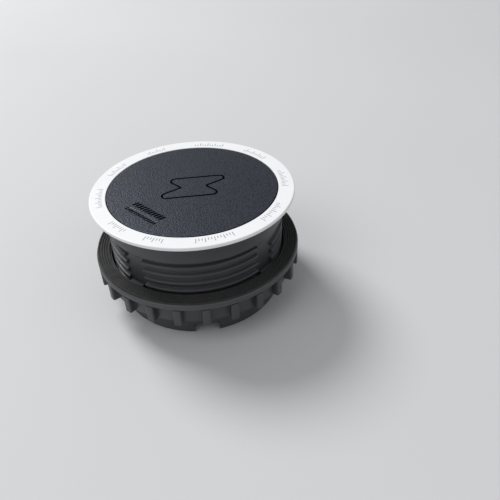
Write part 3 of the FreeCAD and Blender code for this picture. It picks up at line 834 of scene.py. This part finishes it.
def make_washer(material):
    corners = [(WASHER_INNER_R, WASHER_LOW, WASHER_BORE_ROUND),
               (WASHER_R - WASHER_CHAMFER, WASHER_LOW, SOFT_ROUND),
               (WASHER_R, WASHER_LOW + WASHER_CHAMFER, SOFT_ROUND),
               (WASHER_R, WASHER_TOP - WASHER_CHAMFER, SOFT_ROUND),
               (WASHER_R - WASHER_CHAMFER, WASHER_TOP, SOFT_ROUND),
               (WASHER_INNER_R, WASHER_TOP, WASHER_BORE_ROUND)]
    ring = lathe("ring_body", in_metres(corners))
    keys = Surface()
    tip = KEYWAY_R + KEY_CLEARANCE
    root = WASHER_INNER_R + KEY_BURY
    outline = rounded_profile([(tip, -KEY_HALF, KEY_CORNER), (root, -KEY_HALF, 0),
                               (root, KEY_HALF, 0), (tip, KEY_HALF, KEY_CORNER)])
    for angle in KEY_ANGLES:
        rounded_prism(keys, outline, WASHER_LOW + FACE_STEP, WASHER_TOP - FACE_STEP, KEY_EDGE,
                      angle)
    meshes = [taken_mesh(ring), taken_mesh(keys.build("keys", []))]
    placed(joined("washer", meshes, material), "pressure_washer", "washer")


def make_grip(material):
    """Rubber ring with fine concentric grooves in its upper face."""
    corners = [(GRIP_INNER_R, WASHER_TOP, 0), (GRIP_R, WASHER_TOP, 0),
               (GRIP_R, GRIP_TOP, SOFT_ROUND)]
    pitch = (GRIP_R - GRIP_INNER_R) / (GRIP_GROOVES + 1)
    for i in range(GRIP_GROOVES):
        middle = GRIP_R - pitch * (i + 1)
        for offset, depth in ((GRIP_GROOVE_HALF, 0), (GRIP_GROOVE_FLOOR_HALF, GRIP_GROOVE_DEPTH),
                              (-GRIP_GROOVE_FLOOR_HALF, GRIP_GROOVE_DEPTH),
                              (-GRIP_GROOVE_HALF, 0)):
            corners.append((middle + offset, GRIP_TOP - depth, GRIP_GROOVE_ROUND))
    corners.append((GRIP_INNER_R, GRIP_TOP, SOFT_ROUND))
    ring = lathe("grip", in_metres(corners))
    ring.data.materials.append(material)
    placed(ring, "washer_grip", "washer")


def make_body():
    make_barrel(moulded("barrel_plastic", (0.05, 0.051, 0.055), 0.42))
    make_nut(moulded("nut_plastic", (0.052, 0.053, 0.057), 0.4))
    make_washer(moulded("washer_plastic", (0.062, 0.063, 0.068), 0.46))
    make_grip(moulded("grip_rubber", (0.022, 0.022, 0.022), 0.8, grain_scale=1800.0,
                      grain_depth=0.05 * MM))


def dress_nodes():
    """Gives each CAD node that keeps its own shape, in sight or inside, its kind of material."""
    black = moulded("cover_plastic", (0.03, 0.03, 0.033), 0.5)
    foam = moulded("gasket_foam", (0.035, 0.035, 0.036), 0.9, grain_scale=1500.0,
                   grain_depth=0.08 * MM)
    film = moulded("clear_film", (0.72, 0.7, 0.64), 0.35)
    steel = metal("zinc_steel", (0.62, 0.62, 0.6), 0.32)
    litz = metal("copper_litz", (0.62, 0.31, 0.16), 0.38, streak_scale=2400.0)
    ferrite = moulded("ferrite", (0.07, 0.07, 0.075), 0.6)
    nylon = moulded("natural_nylon", (0.68, 0.66, 0.6), 0.5)
    epoxy = moulded("black_epoxy", (0.02, 0.02, 0.022), 0.45)
    laminate = moulded("green_laminate", (0.015, 0.12, 0.05), 0.3, grain_scale=1200.0)
    ceramic = moulded("capacitor_ceramic", (0.42, 0.32, 0.2), 0.4)
    can = metal("capacitor_can", (0.72, 0.72, 0.74), 0.28)
    nickel = metal("nickel_steel", (0.66, 0.65, 0.62), 0.25)
    gold = metal("gold_plate", (0.85, 0.62, 0.27), 0.25)
    gap_pad = moulded("gap_pad", (0.38, 0.46, 0.56), 0.7)
    sheet = metal("spreader_sheet", (0.75, 0.75, 0.77), 0.35, streak_scale=500.0)
    finishes = {
        black: ("charging_plate", "base_cover"),
        foam: ("flange_gasket",),
        film: ("ring_adhesive", "pad_adhesive", "coil_adhesive"),
        steel: ("plate_screws", "cover_screws", "circuit_screws", "thermistor_leads"),
        litz: ("coil_winding", "coil_leads"),
        ferrite: ("ferrite_shield", "filter_inductor"),
        nylon: ("coil_carrier",),
        epoxy: ("coil_thermistor", "controller_chip", "power_transistors", "inlet_tongue"),
        laminate: ("circuit_board",),
        ceramic: ("resonant_capacitors",),
        can: ("input_capacitors",),
        nickel: ("inlet_shell",),
        gold: ("inlet_contacts",),
        gap_pad: ("thermal_pad",),
        sheet: ("heat_spreader",),
    }
    for material, names in finishes.items():
        for name in names:
            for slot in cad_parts[name].material_slots:
                slot.material = material


# Stage, camera and light


def make_floor():
    mesh = bpy.data.meshes.new("floor")
    corners = ((-1, -1), (1, -1), (1, 1), (-1, 1))
    mesh.from_pydata([(x * FLOOR_HALF, y * FLOOR_HALF, FLOOR) for x, y in corners], [],
                     [(0, 1, 2, 3)])
    floor = bpy.data.objects.new("floor", mesh)
    floor.data.materials.append(floor_paint())
    bpy.context.scene.collection.objects.link(floor)


def make_camera():
    """Looks at the ring's centre from the photograph's direction, then turns so that the centre
    lands on its pixel."""
    back = Vector((0, -math.cos(ELEVATION), math.sin(ELEVATION)))
    right = Vector((1, 0, 0))
    basis = Matrix((right, back.cross(right), -back))
    rolled = Matrix.Rotation(ROLL, 3, "Z") @ basis
    focal = LENS_MM / SENSOR_MM * IMAGE_PX
    middle = IMAGE_PX / 2
    ray = Vector(((TARGET_PX[0] - middle) / focal, (middle - TARGET_PX[1]) / focal, 1))
    aim = Vector((0, 0, 1)).rotation_difference(ray.normalized()).to_matrix()
    axes = aim @ rolled
    data = bpy.data.cameras.new("camera")
    data.lens = LENS_MM
    data.sensor_width = SENSOR_MM
    data.clip_start = CLIP_START
    camera = bpy.data.objects.new("camera", data)
    columns = Matrix((axes[0], axes[1], -axes[2])).transposed()
    place = Vector((0, 0, TOP)) + back * DISTANCE
    camera.matrix_world = Matrix.Translation(place) @ columns.to_4x4()
    bpy.context.scene.collection.objects.link(camera)
    bpy.context.scene.camera = camera


def area_light(name, place, size, power):
    """A round lamp that shines at the origin."""
    data = bpy.data.lights.new(name, "AREA")
    data.shape = "DISK"
    data.size = size
    data.energy = power
    light = bpy.data.objects.new(name, data)
    light.location = place
    light.rotation_euler = (-Vector(place)).to_track_quat("-Z", "Y").to_euler()
    bpy.context.scene.collection.objects.link(light)


def make_light():
    area_light("key", place=(-1.1, -0.7, 1.5), size=1.4, power=9.6)
    area_light("fill", place=(1.4, -1.0, 1.0), size=1.6, power=3.6)
    area_light("back", place=(-1.0, 1.32, 1.74), size=1.0, power=44.0)
    world = bpy.data.worlds.new("studio")
    world.use_nodes = True
    background = world.node_tree.nodes["Background"]
    background.inputs["Color"].default_value = (0.95, 0.97, 1.0, 1)
    background.inputs["Strength"].default_value = 0.34
    bpy.context.scene.world = world
    bpy.context.scene.view_settings.view_transform = "Standard"


make_camera()
make_floor()
make_light()
make_ring(ring_plastic())
make_ticks(moulded("tick_ink", (0.36, 0.36, 0.38), 0.5))
# Near black with no reflection: painted shade for the pad's groove, bars and the gap round the pad
make_pad(pad_leather(), moulded("groove_painted_shade", (0.003, 0.003, 0.0035), 0.6, specular=0.0))
make_body()
dress_nodes()
